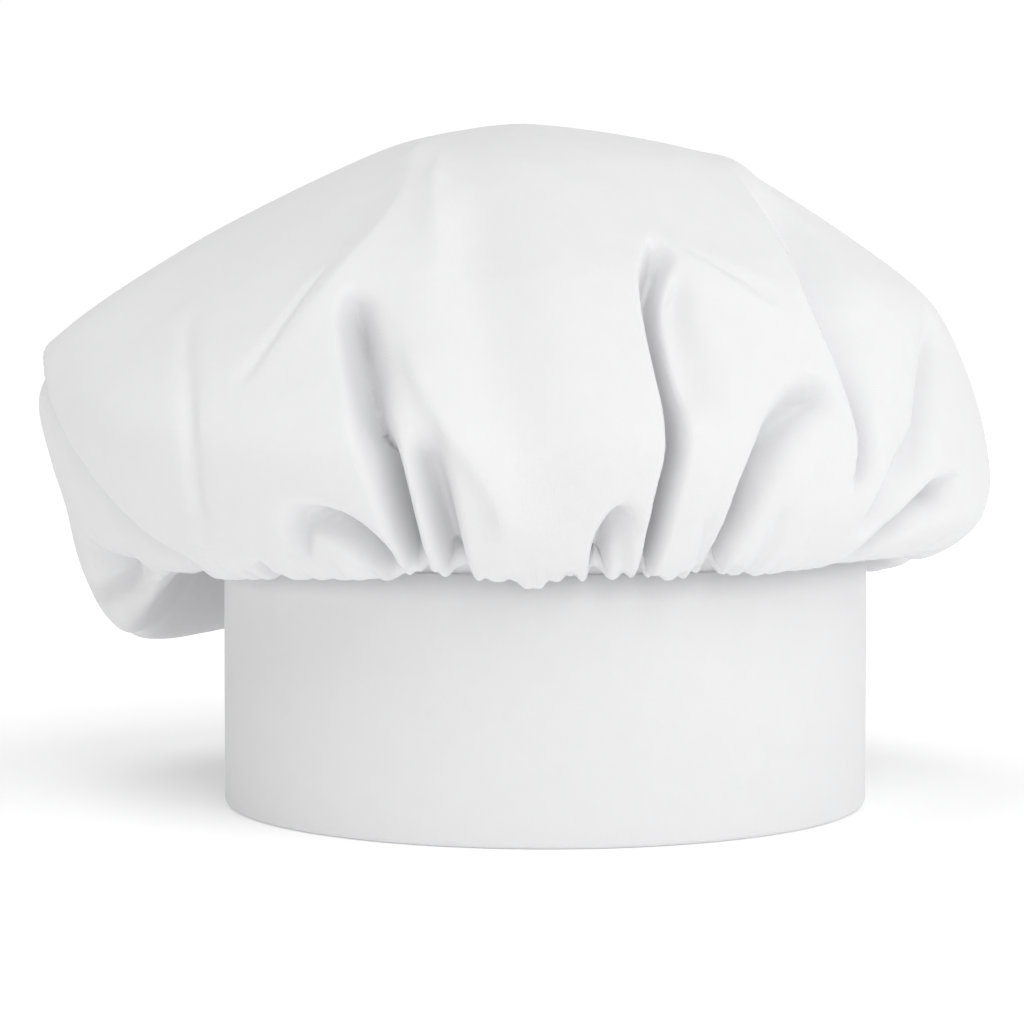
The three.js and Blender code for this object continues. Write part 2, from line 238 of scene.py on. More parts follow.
def unit(vectors: np.ndarray) -> np.ndarray:
    """The same directions at length one."""
    return vectors / np.maximum(np.linalg.norm(vectors, axis=-1, keepdims=True), 1e-12)


@dataclass(frozen=True)
class Section:
    """The crown's cross-section at one azimuth, each point as (radius, height) in millimetres."""

    at: float
    low: tuple[float, float]
    reach: tuple[float, float]
    shoulder: tuple[float, float]
    brow: tuple[float, float]


@dataclass(frozen=True)
class Fold:
    """A fold of the crown, in millimetres.

    path is where it runs, from its foot up, as (share of the run, azimuth). deep is how far its valley goes
    in, and negative for a ridge. left and right are its banks' widths. lean is how far the left bank's roll
    moves over the valley, negative where the right bank's does. foot and head are the lengths over which its
    two ends die out. edges are how abrupt its left and right banks are, 2 for round ones. shape is its share
    of deep, and of both widths or of left and of right, at each point of the path. Where it is empty the
    gathering narrows the fold by itself.
    """

    name: str
    path: list[tuple[float, float]]
    deep: float
    left: float
    right: float
    lean: float = 0.0
    foot: float = 14.0
    head: float = 20.0
    edges: tuple[float, float] | None = None
    shape: tuple[tuple[float, ...], ...] = ()


SECTIONS = [
    Section(-165, (124, 46), (138, 88), (104, 155), (44, 194)),
    Section(-135, (131, 41), (150, 86), (104, 158), (40, 196)),
    Section(-112, (137, 38), (161, 82), (104, 162), (38, 198)),
    Section(-96, (130, 47), (151, 107), (102, 166.5), (36, 198.5)),
    Section(-82, (110, 68), (153, 130), (102, 168), (36, 199)),
    Section(-60, (107, 71), (145, 118), (98, 164), (37, 198)),
    Section(-35, (106, 73.2), (136, 110), (98, 161), (39, 196)),
    Section(0, (104, 74.3), (131, 106), (100, 158), (43, 195)),
    Section(30, (104, 74.6), (132, 104), (105, 155), (51, 193)),
    Section(60, (106, 76.3), (133, 90), (117, 152), (57, 193)),
    Section(90, (111, 72), (135.5, 86), (121, 150), (58, 195.5)),
    Section(125, (116, 60), (137, 92), (114, 150), (54, 193)),
    Section(165, (120, 52), (135, 88), (108, 152), (49, 192)),
]

# The folds that the photograph shows, from left to right, then those of the sides and back. Each row gives
# the name, path, deep, left, right, lean, foot, head, edges and shape.
FOLDS = [
    Fold(
        "tip_pleat", [(0.1, -53), (0.16, -61), (0.22, -69), (0.31, -76), (0.44, -88)], 15, 22, 7, -7, 30, 34,
    ),
    Fold("tip", [(0.36, -78), (0.44, -88), (0.5, -98)], -3, 10, 12, 0, 16, 16),
    Fold("lobe_facet", [(0.12, -80), (0.18, -88), (0.26, -99)], 7, 5, 14, 0, 10, 20, (2.6, 1.6)),
    Fold("lobe_notch", [(0.3, -90), (0.31, -104), (0.31, -116)], 5, 4, 7, 0, 8, 14, (1.8, 2.6)),
    Fold("lobe_underside", [(0.06, -70), (0.1, -88), (0.15, -104)], 6, 10, 4, 0, 10, 16, (1.6, 2.6)),
    Fold(
        "panel_crease", [(0.17, -47.5), (0.26, -44), (0.352, -46), (0.472, -56.5)], 1.9, 3.2, 4, 0, 12, 18,
    ),
    Fold(
        "upper_crease", [(0.34, -39), (0.408, -36.5), (0.476, -34.5), (0.536, -32)], 1.3, 2.8, 3.6, 0, 10, 14,
    ),
    Fold(
        "low_left_hook",
        [(0.05, -21), (0.1, -22), (0.13, -23), (0.155, -25), (0.17, -28), (0.17, -31), (0.13, -33)],
        14, 2.6, 6.5, 0, 8, 10, (2.8, 1.9),
        ((0.6, 0.4), (1, 0.7), (1, 1), (1, 1), (0.8, 1), (0.5, 1), (0.4, 1)),
    ),
    Fold("low_left_bump", [(0.08, -26.5), (0.14, -28.5)], -2.5, 6, 6, 0, 8, 8),
    Fold("top_left_ridge", [(0.34, -38), (0.5, -30), (0.7, -30), (0.9, -60)], -3, 16, 20, 0, 40, 30),
    Fold(
        "left_pleat_low",
        [(0, -17.2), (0.06, -17.2), (0.12, -17.3), (0.176, -17.6), (0.26, -18.8), (0.352, -22.2)],
        19, 5, 5, 0, 6, 27, (2.4, 2.8),
        ((0.5, 0.4), (0.75, 0.5), (0.9, 0.7, 0.6), (1, 0.9, 0.8), (1, 1), (1, 1)),
    ),
    Fold(
        "left_pleat_high",
        [(0.24, -18.5), (0.3, -20.1), (0.352, -22.2), (0.4, -24.7), (0.436, -26.6), (0.465, -27.6)],
        18, 3.4, 9.5, 0, 27, 7, (2.6, 1.5),
        ((1, 1, 0.6), (1, 1, 0.8), (1, 0.9, 1), (0.95, 0.8, 1), (0.85, 0.7, 0.8), (0.7, 0.6, 0.6)),
    ),
    Fold(
        "left_second", [(0, -12), (0.06, -12), (0.156, -12.7), (0.204, -13.2), (0.25, -13.6), (0.3, -13.8)],
        13, 4.6, 7.2, 0, 6, 12, (3.2, 3.2),
        ((0.5, 0.4), (0.8, 0.55), (1, 0.75), (0.95, 0.9), (0.8, 0.9), (0.5, 0.7)),
    ),
    Fold(
        "panel_ridge", [(0.13, -4.5), (0.2, -5.5), (0.3, -11.5), (0.4, -18.5)],
        -2.6, 5, 13, 0, 14, 16, (1.8, 1.6),
    ),
    Fold("bright_streak", [(0.448, -13), (0.616, -17), (0.808, -31)], -2.2, 10, 10, 0, 30, 30),
    Fold("front_hollow", [(0.14, 2), (0.4, -6), (0.7, -12)], 4, 16, 20, 0, 40, 40),
    Fold(
        "small_front", [(0, 7.5), (0.07, 7), (0.136, 7.3), (0.17, 9), (0.192, 11)],
        9, 2.6, 8, 0, 5, 7, (3, 1.8), ((0.6, 0.4), (0.8, 0.6), (1, 0.9), (1, 1), (0.7, 0.8)),
    ),
    Fold(
        "right_pleat",
        [(0, 14), (0.076, 14), (0.15, 14.5), (0.2, 15), (0.25, 16), (0.305, 16.5), (0.36, 16.4),
         (0.42, 16.6), (0.49, 18), (0.535, 20.4), (0.568, 23)],
        18, 2.5, 2.5, 0, 5, 6, (2.9, 2.4),
        ((0.6, 0.5), (0.8, 0.7, 0.5), (0.95, 1, 0.8), (1, 1, 0.95), (1, 1), (1, 1), (1, 0.9, 1.2),
         (0.9, 0.8, 1.8), (0.75, 0.8, 2.2), (0.6, 0.8, 2), (0.4, 0.9, 1.6)),
    ),
    Fold("right_pleat_bank", [(0.28, 18.5), (0.42, 19.5), (0.52, 24)], 5, 4, 13, 0, 20, 14),
    Fold(
        "top_right_crease", [(0.42, 39.5), (0.44, 37.5), (0.508, 31.5), (0.564, 26.5)],
        1.4, 6, 4.5, 0, 14, 18,
    ),
    Fold("top_right_ridge", [(0.38, 40), (0.54, 26), (0.66, 16), (0.82, -20)], -1.5, 16, 18, 0, 30, 30),
    Fold(
        "third_pleat",
        [(0, 25.5), (0.06, 24.5), (0.12, 23.5), (0.168, 24.5), (0.208, 25.5), (0.248, 27), (0.288, 29.5),
         (0.316, 33), (0.328, 36.5), (0.32, 40)],
        20, 3.4, 8, 0, 5, 7, (3, 2.1),
        ((0.8, 0.35), (1, 0.4), (1.1, 0.5, 0.42), (1.1, 0.7, 0.5), (1, 0.9, 0.65), (0.85, 0.9), (0.7, 1),
         (0.6, 1), (0.55, 0.9), (0.45, 0.7)),
    ),
    Fold(
        "far_pleat",
        [(0.2, 41), (0.232, 41.5), (0.268, 42.5), (0.304, 43), (0.352, 43.5), (0.404, 44), (0.464, 45),
         (0.548, 49.5), (0.624, 57.5), (0.72, 70)],
        14, 3.2, 14, 0, 6, 40, (2.8, 1.7),
        ((0.2, 0.5), (0.7, 0.32), (1, 0.32), (1, 0.4), (0.7, 0.75), (0.68, 1), (0.68, 1), (0.64, 1),
         (0.55, 1), (0.3, 1)),
    ),
    Fold(
        "side_pleat",
        [(0.13, 44.5), (0.172, 45.5), (0.212, 47), (0.248, 49.5), (0.272, 53), (0.316, 57.5), (0.368, 64),
         (0.44, 75)],
        9, 3.8, 9, 0, 10, 24, (2.4, 1.7),
        ((0.6, 0.7), (0.7, 0.8), (0.7, 0.9), (0.7, 1), (0.8, 1), (1, 1), (0.9, 1), (0.5, 1)),
    ),
    Fold(
        "low_right_pleat", [(0.06, 47), (0.11, 48.5), (0.142, 50), (0.18, 52.5), (0.215, 57), (0.228, 65)],
        21, 3.6, 15, 1.6, 8, 17, (2.4, 2.2),
        ((0.3, 0.7, 0.35), (0.6, 0.8, 0.45), (0.9, 0.9, 0.6), (1, 1, 0.8), (0.9, 1, 0.8), (0.6, 1, 0.7)),
    ),
    Fold("top_right_corner", [(0.52, 56), (0.68, 68), (0.8, 90)], -2.5, 14, 14, 0, 40, 24),
    Fold("nub", [(0.064, -4.6), (0.062, 0.8)], -5, 3, 2.4, 0, 3, 2.5, (2, 2), ((1, 1), (1, 1))),
    Fold("right_side_1", [(0, 76), (0.16, 78), (0.34, 84)], 11, 7, 14, 2, 10, 24),
    Fold("right_side_2", [(0, 95), (0.2, 98), (0.46, 104)], 13, 7, 16, 2, 10, 26),
    Fold("right_back_1", [(0, 117), (0.14, 117), (0.3, 122)], 9, 5, 12, 1.5, 10, 20),
    Fold("right_back_2", [(0, 138), (0.2, 139), (0.5, 136)], 13, 14, 7, -2, 10, 28),
    Fold("back_1", [(0, 160), (0.16, 162), (0.36, 160)], 10, 5, 12, 1.5, 10, 24),
    Fold("back_2", [(0, 183), (0.2, 185), (0.54, 184)], 12, 16, 8, -2.5, 10, 30),
    Fold("left_back_1", [(0, 207), (0.14, 206), (0.32, 208)], 10, 5, 12, 1.5, 10, 22),
    Fold("left_back_2", [(0, 230), (0.22, 231), (0.5, 238)], 11, 15, 7, -2, 10, 28),
    Fold("left_side_1", [(0, 252), (0.16, 254), (0.34, 258)], 10, 6, 12, 1.5, 10, 22),
    Fold("left_side_2", [(0, 274), (0.14, 273), (0.26, 270)], 9, 12, 8, -1.5, 10, 18),
    Fold("left_side_3", [(0, 296), (0.1, 297), (0.16, 298)], 6, 8, 8, 0, 8, 12),
    Fold("left_side_4", [(0, 318), (0.08, 318), (0.14, 319)], 5, 6, 6, 0, 6, 10),
]


@dataclass(frozen=True)
class Gathers:
    """The small pleats that the gathering leaves all round, laid by a seed.

    Each drawn pair is the least and the most: spacing in degrees, foot and head as shares of the run, lean
    as how far a pleat's head stands beside its foot in degrees, and deep and width in millimetres. loose is
    the share of deep that is left far from a large fold's foot, and bunch how many degrees from it the
    gathers fade. ends, edges and shape are those of every pleat.
    """

    name: str
    seed: int
    spacing: tuple[float, float]
    foot: tuple[float, float]
    head: tuple[float, float]
    lean: tuple[float, float]
    deep: tuple[float, float]
    width: tuple[float, float]
    loose: float = 0.14
    bunch: float = 5.0
    ends: tuple[float, float] = (3, 5)
    edges: tuple[float, float] = (2.2, 2.2)
    shape: tuple[tuple[float, float], ...] = ((1.0, 0.7), (0.7, 1.3))

    def bunched(self, azimuth: float, feet: list[float]) -> float:
        """How strongly the cloth is gathered at an azimuth, as it bunches at the large folds' feet.

        Args:
            azimuth: The azimuth.
            feet: The azimuths of the large folds' feet.

        Returns:
            A share from loose to 1.
        """
        nearest = min(abs((azimuth - foot + 180) % 360 - 180) for foot in feet)
        return self.loose + (1 - self.loose) * math.exp(-((nearest / self.bunch) ** 2))

    def folds(self, feet: list[float]) -> list[Fold]:
        """Lays the pleats once round the seam.

        Args:
            feet: The azimuths of the large folds' feet.

        Returns:
            A fold for each.
        """
        chance = np.random.default_rng(self.seed)
        pleats = []
        azimuth = chance.uniform(*self.spacing) - 180
        while azimuth < 180:
            foot, head = chance.uniform(*self.foot), chance.uniform(*self.head)
            path = [(foot, azimuth), (head, azimuth + chance.uniform(*self.lean))]
            deep = chance.uniform(*self.deep) * self.bunched(azimuth, feet)
            left, right = chance.uniform(*self.width), chance.uniform(*self.width)
            pleats.append(Fold(self.name, path, deep, left, right, 0, *self.ends, self.edges, self.shape))
            azimuth += chance.uniform(*self.spacing)
        return pleats


GATHERS = [
    Gathers("seam_gather", 7, (1.2, 3.4), (0.0, 0.03), (0.085, 0.125), (-1.2, 1.2), (3.0, 8.0), (1.0, 1.8)),
    Gathers("seam_pucker", 11, (5, 12), (0.0, 0.04), (0.12, 0.2), (-3, 3), (2.0, 5.0), (1.6, 3.0)),
]


@dataclass
class FoldLine:
    """A fold's path laid on the unfolded crown, with what it does to the cloth near it."""

    fold: Fold
    points: np.ndarray
    out: np.ndarray
    shares: np.ndarray
    run: np.ndarray = field(init=False)

    # How far the gathering narrows a fold without a shape at the seam, and up to which share of the run
    GATHERED = 0.5
    GATHERED_POWER = 1.5
    GATHERS_REACH = 0.16
    # How narrow such a fold is at its head, and over what length it narrows
    TAPERED = 0.4
    TAPER_LENGTH = 45.0
    # A bank falls off as exp(-BANK_FALL * (distance / width) ** power), with the power of its kind
    BANK_FALL = 2.4
    RIDGE_POWER = 1.3
    ROLLED_POWER = 2.0
    EASY_POWER = 1.8
    # How wide the roll of a leaning bank is towards the valley and away from it, in banks' widths
    ROLL_INSIDE = 0.77
    ROLL_OUTSIDE = 2.2
    # A fold moves no cloth further from its line than this, in banks' widths
    REACH = 4.0

    def __post_init__(self) -> None:
        """Works out the length run at each point."""
        steps = np.linalg.norm(np.diff(self.points, axis=0), axis=1)
        self.run = np.concatenate([[0.0], np.cumsum(steps)])

    def near(self, places: np.ndarray) -> dict[str, np.ndarray]:
        """Finds the nearest place on the line to each point.

        Args:
            places: Points on the unfolded crown.

        Returns:
            The distance, the signed one across the line, the length from its foot, the share of the run, the
            share of the line's stations, and the direction across it towards the right.
        """
        count, last = len(places), len(self.points) - 1
        found = {name: np.zeros(count) for name in ("across", "to_foot", "share", "knot")}
        found["distance"] = np.full(count, np.inf)
        found["side"] = np.zeros((count, 3))
        for i in range(last):
            step = self.points[i + 1] - self.points[i]
            length = np.linalg.norm(step)
            offset = places - self.points[i]
            s = np.clip(offset @ step / length**2, 0, 1)
            away = offset - s[:, None] * step
            distance = np.linalg.norm(away, axis=1)
            side = unit(np.cross(step / length, self.out[i]))
            here = {
                "distance": distance,
                "across": np.sign(away @ side) * distance,
                "to_foot": self.run[i] + s * length,
                "share": self.shares[i] + s * (self.shares[i + 1] - self.shares[i]),
                "knot": (i + s) / last,
                "side": np.broadcast_to(side, (count, 3)),
            }
            closer = distance < found["distance"]
            for name, values in here.items():
                found[name][closer] = values[closer]
        return found

    def form(self, near: dict[str, np.ndarray]) -> tuple[np.ndarray, np.ndarray]:
        """Works out how deep and how wide the fold is beside each point.

        Args:
            near: Where the points lie, as near gives it.

        Returns:
            The share of its depth and the share of its banks' widths.
        """
        fold = self.fold
        to_head = self.run[-1] - near["to_foot"]
        strength = smooth(near["to_foot"] / fold.foot) * smooth(to_head / fold.head)
        if not fold.shape:
            gathered = self.GATHERED + (1 - self.GATHERED) * smooth(near["share"] / self.GATHERS_REACH)
            taper = self.TAPERED + (1 - self.TAPERED) * smooth(to_head / self.TAPER_LENGTH)
            return strength * gathered**self.GATHERED_POWER, gathered * taper
        knots = np.linspace(0, 1, len(fold.shape))
        columns = [[row[k] for row in fold.shape] for k in (0, 1, -1)]
        share, left, right = (np.interp(near["knot"], knots, column) for column in columns)
        return strength * share, np.where(near["across"] < 0, left, right)

    def pull(self, places: np.ndarray) -> tuple[np.ndarray, np.ndarray, np.ndarray]:
        """Works out what the fold does to each point.

        Args:
            places: Points on the unfolded crown.

        Returns:
            Which points it reaches, how far it presses them in, and how far it carries them, as vectors.
        """
        fold = self.fold
        reach = self.REACH * max(fold.left, fold.right)
        middle = self.points.mean(axis=0)
        radius = np.linalg.norm(self.points - middle, axis=1).max() + reach
        reached = np.flatnonzero(np.linalg.norm(places - middle, axis=1) < radius)
        near = self.near(places[reached])
        close = near["distance"] < reach
        reached = reached[close]
        near = {name: values[close] for name, values in near.items()}
        strength, spread = self.form(near)
        across = near["across"]
        width = spread * np.where(across < 0, fold.left, fold.right)
        if fold.edges:
            power = np.where(across < 0, *fold.edges)
        elif fold.deep < 0:
            power = self.RIDGE_POWER
        else:
            rolled = (fold.lean == 0) | ((fold.lean > 0) == (across < 0))
            power = np.where(rolled, self.ROLLED_POWER, self.EASY_POWER)
        depth = strength * fold.deep * np.exp(-self.BANK_FALL * (np.abs(across) / width) ** power)
        roll = spread * (fold.right if fold.lean < 0 else -fold.left)
        past = (across - roll) / np.abs(roll)
        fall = np.where(past * roll < 0, self.ROLL_INSIDE, self.ROLL_OUTSIDE)
        carry = strength * fold.lean * spread * np.exp(-((past / fall) ** 2))
        return reached, depth, near["side"] * carry[:, None]


@dataclass
class Crown:
    """The puffed crown: one round of cloth whose edge is gathered and goes down inside the band's top.

    Lengths are in millimetres about the band's axis. Azimuths are in degrees, 0 at the front and positive to
    the right, and a share is of the cloth's run from the seam (0) to the summit (1).
    """

    axis: tuple[float, float]
    band_radius: float
    band_height: float
    sections: list[Section]
    folds: list[Fold]
    summit: tuple[float, float, float] = (-8.0, 0.0, 205.0)
    # Where the cloth turns outwards above the band, as (radius, height)
    lip: tuple[float, float] = (99.4, 79.5)
    # The band's ply, the room between it and the crown's edge, and how far that edge goes down inside
    ply: float = 1.0
    gap: float = 0.3
    tuck: float = 10.0
    # The wall, drawn thicker than cotton is. Its inside keeps clearance from the outside, and at each of the
    # clearings it is set in further where it doesn't, up to thickest.
    cloth: float = 1.0
    clearance: float = 0.5
    clearings: int = 4
    thickest: float = 3.0
    # How rounded a cross-section is at each of its points, from the seam to the summit
    roundness: tuple[float, ...] = (1, 1, 1, 0.75, 0.35, 0.5, 0.8)
    # Each point is a weighted mean over a stretch of its section, which is easing long to either side
    easing: float = 0.07
    easing_weights: tuple[float, ...] = (0.12, 0.24, 0.28, 0.24, 0.12)
    # A fold lifts the cloth by this share of its depth near the band, up to pressed_from of the way to the
    # cloth's lowest point, and then goes over to pressing it in
    lifted: float = 0.14
    pressed_from: float = 0.7
    # The stations along a fold's line, fewer for a straight one
    stations: int = 32
    straight_stations: int = 6
    # The grid of the outside, closer together in front and near the seam, and how often it is eased
    columns: int = 560
    rows: int = 139
    crowding: float = 0.45
    row_crowding: float = 1.3
    eased: int = 2
    # The flat round's radius
    cut_radius: float = 245.0
    finish: PlainCotton = CROWN_COTTON

    def section_points(self, azimuths: np.ndarray) -> np.ndarray:
        """Works out whole cross-sections smoothly from the table's rows.

        Args:
            azimuths: One azimuth for each.

        Returns:
            The points from the seam to the summit, as (azimuth, point, radius or height).
        """
        at = np.array([s.at for s in self.sections], float)
        table = np.array([[s.low, s.reach, s.shoulder, s.brow] for s in self.sections], float)
        at = np.concatenate([[at[-1] - 360], at, [at[0] + 360, at[1] + 360]])
        table = np.concatenate([table[-1:], table, table[:2]])
        slopes = np.gradient(table, at, axis=0)
        turned = np.mod(azimuths - at[1], 360) + at[1]
        i = np.clip(np.searchsorted(at, turned, side="right") - 1, 1, len(at) - 3)
        step = (at[i + 1] - at[i])[:, None, None]
        s = (turned - at[i])[:, None, None] / step
        drawn = cubic(table[i], table[i + 1], slopes[i], slopes[i + 1], step, s)
        count = len(azimuths)
        seam = np.tile([self.band_radius - self.ply - self.gap, self.band_height], (count, 1, 1))
        lip = np.tile(self.lip, (count, 1, 1))
        top = np.tile([0.0, self.summit[2]], (count, 1, 1))
        return np.concatenate([seam, lip, drawn, top], axis=1)

    def on_section(self, points: np.ndarray, run: np.ndarray, shares: np.ndarray) -> np.ndarray:
        """The point of each cross-section at a share of its run.

        Args:
            points: The cross-sections' points.
            run: The length run at each of them.
            shares: One share for each section.

        Returns:
            A radius and a height for each.
        """
        target = shares * run[:, -1]
        i = np.sum(target[:, None] > run[:, 1:-1], axis=1)
        steps = np.diff(run, axis=1)[..., None]
        rises = np.diff(points, axis=1) / steps
        before, after = steps[:, :-1], steps[:, 1:]
        slopes = np.empty_like(points)
        slopes[:, 1:-1] = (rises[:, :-1] * after + rises[:, 1:] * before) / (before + after)
        # The cloth leaves the seam upright and is level at the summit
        slopes[:, 0] = (0, 1)
        slopes[:, -1] = (-1, 0)
        slopes *= np.array(self.roundness)[None, :, None]
        row = np.arange(len(i))
        step = (run[row, i + 1] - run[row, i])[:, None]
        s = (target - run[row, i])[:, None] / step
        return cubic(points[row, i], points[row, i + 1], slopes[row, i], slopes[row, i + 1], step, s)

    def unfolded(self, azimuths: np.ndarray, shares: np.ndarray) -> np.ndarray:
        """Points on the crown before it has any folds.

        Args:
            azimuths: One for each point.
            shares: One for each point.

        Returns:
            The points about the band's axis.
        """
        points = self.section_points(azimuths)
        lengths = np.linalg.norm(np.diff(points, axis=1), axis=2)
        run = np.concatenate([np.zeros((len(points), 1)), np.cumsum(lengths, axis=1)], axis=1)
        reach = np.minimum(self.easing, np.minimum(shares, 1 - shares) / 3)
        flat = np.zeros((len(points), 2))
        half = len(self.easing_weights) // 2
        for k, weight in enumerate(self.easing_weights, -half):
            flat += weight * self.on_section(points, run, shares + k * reach / half)
        drift = smooth(shares)
        angle = np.radians(azimuths)
        x = self.summit[0] * drift + flat[:, 0] * np.sin(angle)
        y = self.summit[1] * drift - flat[:, 0] * np.cos(angle)
        return np.stack([x, y, flat[:, 1]], axis=1)

    def outwards(self, azimuths: np.ndarray, shares: np.ndarray) -> np.ndarray:
        """The outwards directions of the unfolded crown.

        Args:
            azimuths: One for each point.
            shares: One for each point.

        Returns:
            Directions of length one.
        """
        # How far to either side a direction is taken, in degrees and as a share of the run
        turn, climb = 1.0, 0.001
        sideways = self.unfolded(azimuths + turn, shares) - self.unfolded(azimuths - turn, shares)
        above = self.unfolded(azimuths, np.minimum(shares + climb, 1))
        return unit(np.cross(sideways, above - self.unfolded(azimuths, np.maximum(shares - climb, 0))))

    def fold_line(self, fold: Fold) -> FoldLine:
        """Lays a fold's path on the unfolded crown.

        Args:
            fold: The fold.

        Returns:
            Its line.
        """
        count = self.straight_stations if len(fold.path) == 2 else self.stations
        s = np.linspace(0, 1, count + 1)
        knots = np.linspace(0, 1, len(fold.path))
        shares, azimuths = (along(knots, np.array(values, float), s) for values in zip(*fold.path))
        return FoldLine(fold, self.unfolded(azimuths, shares), self.outwards(azimuths, shares), shares)

    def folded(self, azimuths: np.ndarray, shares: np.ndarray) -> np.ndarray:
        """Points on the crown's outside, with every fold pressed into it.

        Args:
            azimuths: One for each point.
            shares: One for each point.

        Returns:
            The points about the band's axis.
        """
        start = self.unfolded(azimuths, shares)
        points = self.section_points(azimuths)
        steps = np.linalg.norm(np.diff(points, axis=1), axis=2)
        to_low = shares * steps.sum(axis=1) / steps[:, :2].sum(axis=1)
        pressed = smooth(to_low - self.pressed_from)[:, None]
        press = (1 - pressed) * np.array([0, 0, self.lifted]) - pressed * self.outwards(azimuths, shares)
        moved = start.copy()
        for fold in self.folds:
            reached, depth, carry = self.fold_line(fold).pull(start)
            moved[reached] += press[reached] * depth[:, None] + carry
        return moved

    def mesh(self) -> bpy.types.Mesh:
        """Builds the crown as a closed wall: its outside, an inside half as fine, and its raw edge.

        Returns:
            The mesh, in metres in the frame's own place, with the flat cloth's map and its material.
        """
        t = np.linspace(0, 2 * math.pi, self.columns, endpoint=False)
        azimuths = np.degrees(t - self.crowding * np.sin(t))
        shares = (np.arange(self.rows) / self.rows) ** self.row_crowding
        grid_azimuths = np.tile(azimuths, self.rows)
        grid_shares = np.repeat(shares, self.columns)
        outside = self.folded(grid_azimuths, grid_shares).reshape(self.rows, self.columns, 3)
        for _ in range(self.eased):
            outside = self.relaxed(outside)
        tucked = outside[:1].copy()
        tucked[..., 2] = self.band_height - self.tuck
        outside = np.concatenate([tucked, outside])
        return self.wall(outside, azimuths, shares)

    def lining(self, outside: np.ndarray, normals: np.ndarray) -> np.ndarray:
        """The wall's inside, set in further where the outside turns too sharply for its longer faces.

        Args:
            outside: The outside's points, by row and column.
            normals: Its outwards directions.

        Returns:
            The inside's points, one for each of the outside's.
        """
        depth = np.full(outside.shape[:2], self.cloth)
        for _ in range(self.clearings):
            inside = outside - depth[..., None] * normals
            more = np.zeros_like(depth)
            for row_step, column_step in ((0, 1), (1, 0), (1, 1), (1, -1)):
                ways = ((row_step, column_step), (-row_step, -column_step))
                middle = sum(np.roll(inside, way, (0, 1)) for way in ways) / 2
                short = np.maximum(self.clearance - np.sum((outside - middle) * normals, axis=2), 0)
                short[[0, -1]] = 0
                for way in ways:
                    more = np.maximum(more, np.roll(short, way, (0, 1)))
            depth = np.minimum(depth + more, self.thickest)
        # The edge that goes down in the band's slot stays as thick as the cloth
        depth[:2] = self.cloth
        return outside - depth[..., None] * normals

    @staticmethod
    def relaxed(outside: np.ndarray) -> np.ndarray:
        """Moves each point half-way to its neighbours' middle, as cloth can't bend without a radius.

        Args:
            outside: The outside's points, by row and column. The first and last rows stay.

        Returns:
            The points after it.
        """
        neighbours = [np.roll(outside, step, axis) for step in (1, -1) for axis in (0, 1)]
        eased = outside.copy()
        eased[1:-1] += (sum(neighbours) / 4 - outside)[1:-1] / 2
        return eased

    def wall(self, outside: np.ndarray, azimuths: np.ndarray, shares: np.ndarray) -> bpy.types.Mesh:
        """Gives the outside its inside and its raw lower edge.

        Args:
            outside: The outside's points, by row from the raw edge up and by column.
            azimuths: The columns' azimuths.
            shares: The shares of the rows above the tucked one.

        Returns:
            The closed mesh.
        """
        top = np.array(self.summit)
        rows, columns = outside.shape[:2]
        sideways = np.roll(outside, -1, axis=1) - np.roll(outside, 1, axis=1)
        upwards = np.gradient(outside, axis=0)
        normals = unit(np.cross(sideways, upwards))
        lining = self.lining(outside, normals)
        kept = [*range(0, rows - 1, 2), rows - 1]
        inside = lining[kept][:, ::2]
        inner_top = top - (0, 0, self.cloth)
        points = np.concatenate([outside.reshape(-1, 3), [top], inside.reshape(-1, 3), [inner_top]])
        inner = rows * columns + 1
        inner_rows, inner_columns = inside.shape[:2]
        faces = self.sheet(0, rows, columns, inner - 1)
        faces += [face[::-1] for face in self.sheet(inner, inner_rows, inner_columns, len(points) - 1)]
        # The raw edge: two steps of the outside meet one of the inside
        for i in range(inner_columns):
            a, b, c = 2 * i, 2 * i + 1, (2 * i + 2) % columns
            p, q = inner + i, inner + (i + 1) % inner_columns
            faces += [(b, a, p), (b, p, q), (c, b, q)]
        points[:, :2] += self.axis
        mesh = bpy.data.meshes.new(Part.CROWN.value)
        mesh.from_pydata((points * MM).tolist(), [], faces)
        flat = self.flat_cloth(azimuths, shares)
        centre = np.zeros((1, 2))
        cloth = np.concatenate([flat.reshape(-1, 2), centre, flat[kept][:, ::2].reshape(-1, 2), centre])
        lay_map(mesh, cloth[corner_points(mesh)])
        mesh.materials.append(self.finish.material())
        return mesh

    def flat_cloth(self, azimuths: np.ndarray, shares: np.ndarray) -> np.ndarray:
        """Where each point of the outside lies on the flat round that the cloth was cut from.

        Args:
            azimuths: The columns' azimuths.
            shares: The shares of the rows above the tucked one.

        Returns:
            Places in metres, by row and column.
        """
        radius = np.concatenate([[self.cut_radius], (self.cut_radius - self.tuck) * (1 - shares)])
        angle = np.radians(azimuths)
        return np.stack([np.outer(radius, np.sin(angle)), -np.outer(radius, np.cos(angle))], axis=2) * MM

    @staticmethod
    def sheet(first: int, rows: int, columns: int, tip: int) -> list[tuple[int, ...]]:
        """The faces of a sheet of rings, lowest first, closed by a tip.

        Args:
            first: The number of its first point.
            rows: How many rings.
            columns: How many points in each.
            tip: The number of the tip's point.

        Returns:
            The faces, turned outwards.
        """
        faces = []
        for k in range(rows - 1):
            base = first + k * columns
            for i in range(columns):
                a, b = base + i, base + (i + 1) % columns
                faces.append((a, b, b + columns, a + columns))
        last = first + (rows - 1) * columns
        faces += [(last + i, last + (i + 1) % columns, tip) for i in range(columns)]
        return faces

    def build(self) -> bpy.types.Object:
        """Returns:
            The finished piece.
        """
        crown = piece(self.mesh(), "crown_gathered")
        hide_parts(Part.CROWN.value)
        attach(crown, ROOT)
        return crown


